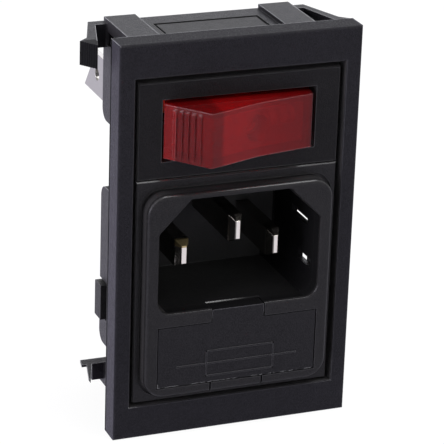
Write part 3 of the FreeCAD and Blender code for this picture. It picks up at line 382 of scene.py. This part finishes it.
# ---- Inlet housing and rear cover ------------------------------------------------------------------------
# The keyed socket rises from a moat in its plate.  Housing and cover are moulded in the same black plastic,
# and the cover is welded over the housing's back by ultrasound.
platform_front = -0.0054
socket_half, wall_start = 0.0124, 0.0119
socket_low, socket_top = -0.0100, 0.0071
socket_deep = 0.0172
lip_left, lip_right = -0.0042, 0.0022
inlet_black = BlackMoulding("inlet_black", (0.0105, 0.0101, 0.0106), sheen_level=0.13, gloss=0.30,
                            grain=0.5, edge_width=0.00014)
# Painted highlights: the plate's front bevel and the platform's rim get paler edges, the rim less on its
# left.
bevel = inlet_black.between("Y", plate_front + 0.00004, plate_front + 0.00019)
rim = inlet_black.between("Y", platform_front + 0.00012, platform_front + 0.00050)
lit_side = inlet_black.between("X", -0.0130, None) * 0.8 + 0.2
inlet_black.wear_and_highlight = inlet_black.wear_and_highlight * 0.5 + bevel * 0.22 + rim * lit_side * 0.24

# Inside the socket the tints are painted light and shade: the back and floor are paler, most to the right,
# the floor is darkest at the front, and the right wall and the low corner are darkest of all.
inward = inlet_black.along("Y") - platform_front
hollow = ((inward - 0.002) / 0.008).kept() * (inward < socket_deep)
hollow = hollow * inlet_black.between("X", -socket_half, wall_start)
hollow = hollow * inlet_black.between("Z", socket_low, socket_top)
right_wall = inlet_black.between("X", wall_start, socket_half)
right_wall = right_wall * inlet_black.between("Z", socket_low, socket_top)
low_corner = inlet_black.between("X", 0.0101, 0.0120) * inlet_black.between("Z", -0.0101, -0.0080)
right_wall = right_wall.at_least(low_corner) * (inward > 0.0006)
ground = inlet_black.between("Z", socket_low - 0.0004, socket_low)
ground = ground * inlet_black.between("Y", platform_front + 0.0006, 0.02)
ground = ground * inlet_black.between("X", -socket_half, socket_half)
# Painted light: the moat round the platform and the plate's side walls are tinted paler.
moat = inlet_black.between("Y", platform_front + 0.0007, plate_front - hair) * (1.0 - ground)
sides = inlet_black.between("Y", plate_front + 0.00025, plate_back) * (1.0 - ground)
far_side = ((inlet_black.along("X") - 0.001) / 0.010).kept()
inlet_black.tint(hollow, inlet_black.blend(far_side, (0.014, 0.014, 0.014), (0.036, 0.036, 0.036)))
inlet_black.tint(moat.at_least(sides), (0.026, 0.025, 0.026))
ground_tone = inlet_black.blend(((inward - 0.001) / 0.012).kept(), shadow, (0.028, 0.028, 0.028))
inlet_black.tint(ground, ground_tone)
inlet_black.tint(right_wall, (0.0025, 0.0025, 0.0025))
inlet_black.rough = inlet_black.rough + right_wall * 0.4 + ground * 0.25

# The notch's rear edge is glossier and painted paler, a painted highlight, most of all at its left end.
lip = inlet_black.between("Z", -0.01035, -0.0098) * inlet_black.between("Y", -0.00295, -0.0025)
fade = ((lip_right - inlet_black.along("X")) / 0.0056).kept() * inlet_black.between("X", lip_left, None)
inlet_black.wear_and_highlight = inlet_black.wear_and_highlight + lip * fade * 0.9
inlet_black.lay_on("inlet_housing", "rear_cover")

# ---- Fuse drawer -----------------------------------------------------------------------------------------
# It pulls out below the socket with two fuses in it.  Moulded in the same plastic; its tab and, in dashes,
# the lower edge of its front are painted paler as highlights, and the top of the tab is painted dark as
# shade.
drawer_black = BlackMoulding("drawer_black", (0.0084, 0.0081, 0.0092), sheen_level=0.12, gloss=0.36,
                             grain=0.55, edge_width=0.00020)
# Painted highlight: pale dashes along the lower edge of the front.
under = drawer_black.between("Z", None, -0.0208) * (drawer_black.noise(1100.0, 2.0) > 0.5)
tab = drawer_black.between("Z", -0.0115, 0.0)
proud = drawer_black.between("Y", None, platform_front + 0.00003)
drawer_black.tint(under * drawer_black.wear_and_highlight * 2.0, (0.21, 0.21, 0.215))
# The tab and the proud front get paler edges, partly painted highlight.
drawer_black.wear_and_highlight = drawer_black.wear_and_highlight * (under * 0.5 + tab + proud * 0.5 + 0.1)
# Painted shade: the top of the tab is tinted dark.
sill = drawer_black.between("Z", -0.0103, -0.0102) * drawer_black.between("Y", -0.0052, -0.0029)
drawer_black.tint(sill, shadow)
drawer_black.rough = drawer_black.rough + sill * 0.5
drawer_black.lay_on("fuse_drawer")

# ---- Fuse symbol -----------------------------------------------------------------------------------------
# The plain sign for a fuse, moulded with the drawer in the same plastic: a box outline with the wire
# through it, standing a hair proud of the drawer's front.
drawer_low, drawer_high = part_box("fuse_drawer")
rise = 0.00009
line = 0.00032
box_middle, box_half = 0.00045, 0.0053
box_left, box_right = box_middle - box_half, box_middle + box_half
box_low, box_top = -0.0206, -0.0164
wire_low = (box_low + box_top) / 2.0 - line / 2.0
wire_reach = 0.0093
wire_rise = rise * 0.98
edge_radius = 0.00005


def raised_line(name, left, right, low, top, proud_by):
    """One straight bar of the sign, half sunk in the drawer's front."""
    bpy.ops.object.select_all(action="DESELECT")
    bpy.ops.mesh.primitive_cube_add(size=1.0)
    bar = bpy.context.active_object
    bar.name = name
    bpy.ops.transform.resize(value=(right - left, 2.0 * proud_by, top - low))
    bpy.ops.transform.translate(value=((left + right) / 2.0, drawer_low[1], (low + top) / 2.0))
    bpy.ops.object.transform_apply(location=True, rotation=True, scale=True)
    return bar


bars = [raised_line("sign_low", box_left, box_right, box_low, box_low + line, rise),
        raised_line("sign_top", box_left, box_right, box_top - line, box_top, rise),
        raised_line("sign_left", box_left, box_left + line, box_low, box_top, rise),
        raised_line("sign_right", box_right - line, box_right, box_low, box_top, rise),
        raised_line("sign_wire", -wire_reach, wire_reach, wire_low, wire_low + line, wire_rise)]
bpy.ops.object.select_all(action="DESELECT")
for bar in bars:
    bar.select_set(True)
bpy.context.view_layer.objects.active = bars[0]
bpy.ops.object.join()
sign = bpy.context.active_object
sign.name = "fuse_sign"
soften = sign.modifiers.new("soften", "BEVEL")
soften.width = edge_radius
soften.segments = 2
bpy.ops.object.modifier_apply(modifier=soften.name)
sign.data.materials.append(drawer_black.material)
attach(sign, "drawer")

# ---- Rocker ----------------------------------------------------------------------------------------------
# A thin cap moulded in clear red polycarbonate and polished, so light soaks into it and the dark works
# behind show as a deeper tone, to which painted shade in its colour adds.  It swings on trunnions that snap
# into the housing's well.
ribs_left, ribs_right, ribs_top = -0.0100, -0.0042, 0.0198
cap_top = 0.0206
cap_end = 0.0099
ruby = Finish("ruby_cap", {"IOR": 1.25, "Transmission Weight": 0.78, "Coat IOR": 2.1})
soft, edge = ruby.softened_edges(0.0003)
swirl = ruby.noise(250.0, 3.0)
grain = ruby.noise(2600.0, 2.0)
cap = ruby.blend(swirl, (0.46, 0.007, 0.009), (0.60, 0.012, 0.014))
# Painted shade: the cap darkens towards its right end and on the end itself, and its ribbed left face is
# darker.
far_end = ((ruby.along("X") + 0.002) / 0.014).kept()
cap = ruby.blend(far_end * 0.8, cap, (0.26, 0.006, 0.008))
rib_face = ((ribs_right - ruby.along("X")) / 0.0006).kept() * ruby.between("X", ribs_left, None)
cap = ruby.blend(rib_face * 0.75, cap, (0.22, 0.005, 0.006))
cap = ruby.blend(((ruby.along("X") - cap_end) / 0.0004).kept() * 0.8, cap, (0.10, 0.008, 0.010))
# Painted sheen: the top face is paler.
top_face = ruby.between("Z", cap_top, None)
cap = ruby.blend(top_face * 0.7, cap, (0.80, 0.22, 0.20))
ruby.feed("Base Color", cap)
ruby.feed("Roughness", 0.12 + swirl * 0.08 + grain * 0.04)
ribs = rib_face * ruby.between("Z", None, ribs_top)
ruby.feed("Coat Weight", (edge * 2.6 - 0.10).kept() * (1.0 - ribs * 0.65) + top_face * 0.16)
ruby.feed("Normal", ruby.add("ShaderNodeBump", {}, {"Strength": 0.2, "Distance": 0.00003,
                                                    "Height": swirl + grain * 0.2, "Normal": soft}))
dress(ruby, "rocker")

# ---- Plunger, lamp and resistor --------------------------------------------------------------------------
# Natural nylon, a small neon bulb in clear glass and a lacquered resistor with its colour bands, all held
# in the rocker and all but hidden by it.
nylon = Finish("natural_nylon", {"Roughness": 0.45, "Subsurface Weight": 0.2, "Subsurface Scale": 0.001})
nylon.feed("Base Color", nylon.blend(nylon.noise(500.0), (0.70, 0.69, 0.64), (0.80, 0.79, 0.75)))
dress(nylon, "plunger")
glass = Finish("bulb_glass", {"Roughness": 0.05, "IOR": 1.5, "Transmission Weight": 0.9})
glass.feed("Base Color", glass.blend(glass.noise(300.0), (0.93, 0.90, 0.86), (0.97, 0.96, 0.94)))
dress(glass, "neon_lamp")
lacquer = Finish("resistor_lacquer", {"Roughness": 0.35})
band_scale = 180.0
band = lacquer.add("ShaderNodeTexWave", {"bands_direction": "X"},
                   {"Vector": lacquer.place(), "Scale": band_scale})
lacquer.feed("Base Color", lacquer.blend(band > 0.8, (0.20, 0.13, 0.08), (0.05, 0.02, 0.02)))
dress(lacquer, "lamp_resistor")

# ---- Pins, tabs, clips and contacts ----------------------------------------------------------------------
# Stamped from brass strip and nickel plated or tinned: satin metal with the fine lines of the rolled strip
# along each blade.  The switch's blade is bare brass with silver contacts, and its spring is drawn steel.


def plated(name, colour, roughness, lines, tip=()):
    """Satin plated strip with drawn lines along the depth and a faint cloud of handling marks.

    With a tip (its back, its crown and its left side), painted shade darkens the metal behind it and on its
    left and dims the crown to a dull gold.
    """
    edge_radius = 0.00012
    line_scale, line_stretch, line_depth = 5200.0, 0.04, 0.000003
    metal = Finish(name, {"Metallic": 1.0})
    soft = metal.softened_edges(edge_radius)[0]
    stretched = metal.add("ShaderNodeMapping", {},
                          {"Vector": metal.place(), "Scale": (1.0, line_stretch, 1.0)})
    drawn = metal.noise(line_scale, 2.0, 0.6, stretched)
    cloud = metal.noise(420.0, 3.0)
    body = metal.blend(cloud, tuple(part * 0.86 for part in colour), colour)
    rough = roughness + drawn * 0.10 + cloud * 0.06
    if tip:
        back, crown_low, left = tip
        # Painted shade behind the tip and on its left side, and on its crown.
        behind = ((metal.along("Y") - back) / 0.0005).kept()
        crown = metal.between("Z", crown_low, crown_low + 0.001)
        left_side = metal.between("X", left, left + 0.00080)
        body = metal.blend(behind, body, tuple(part * 0.3 for part in colour))
        body = metal.blend(crown * (1.0 - behind), body, (0.34, 0.27, 0.14))
        body = metal.blend(left_side, body, tuple(part * 0.2 for part in colour))
        rough = rough + (1.0 - behind) * crown * 0.25
    metal.feed("Base Color", body)
    metal.feed("Roughness", rough.kept())
    metal.feed("Normal", metal.add("ShaderNodeBump", {}, {"Strength": lines, "Distance": line_depth,
                                                          "Height": drawn, "Normal": soft}))
    return metal


tip_length = 0.0012
crown_height = 0.00088
for pin in ("line_pin", "neutral_pin", "earth_pin"):
    pin_low, pin_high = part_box(pin)
    tip = (pin_low[1] + tip_length, pin_high[2] - crown_height, pin_low[0])
    dress(plated(pin + "_nickel", (0.74, 0.70, 0.62), roughness=0.12, lines=0.3, tip=tip), pin)
nickel = plated("nickel_plate", (0.74, 0.71, 0.64), roughness=0.10, lines=0.3)
dress(nickel, "line_fuse_clip", "load_fuse_clip")
tin = plated("tinned_strip", (0.42, 0.405, 0.39), roughness=0.28, lines=0.5)
dress(tin, "common_terminal", "lamp_terminal", "load_terminal")
brass = plated("bare_brass", (0.72, 0.52, 0.25), roughness=0.25, lines=0.4)
dress(brass, "contact_blade")
silver = plated("contact_silver", (0.85, 0.84, 0.80), roughness=0.25, lines=0.1)
dress(silver, "blade_rivet", "fixed_rivet")
steel = plated("spring_steel", (0.50, 0.50, 0.51), roughness=0.28, lines=0.2)
dress(steel, "plunger_spring")

# ---- Fuses -----------------------------------------------------------------------------------------------
# Cartridge fuses, one at work and one spare: a clear glass tube between two nickel plated caps, with a thin
# bright wire soldered through it.
dress(nickel, "fuse_cap_left", "fuse_cap_right", "spare_fuse_cap_left", "spare_fuse_cap_right")
dress(glass, "fuse_tube", "spare_fuse_tube")
dress(steel, "fuse_wire", "spare_fuse_wire")
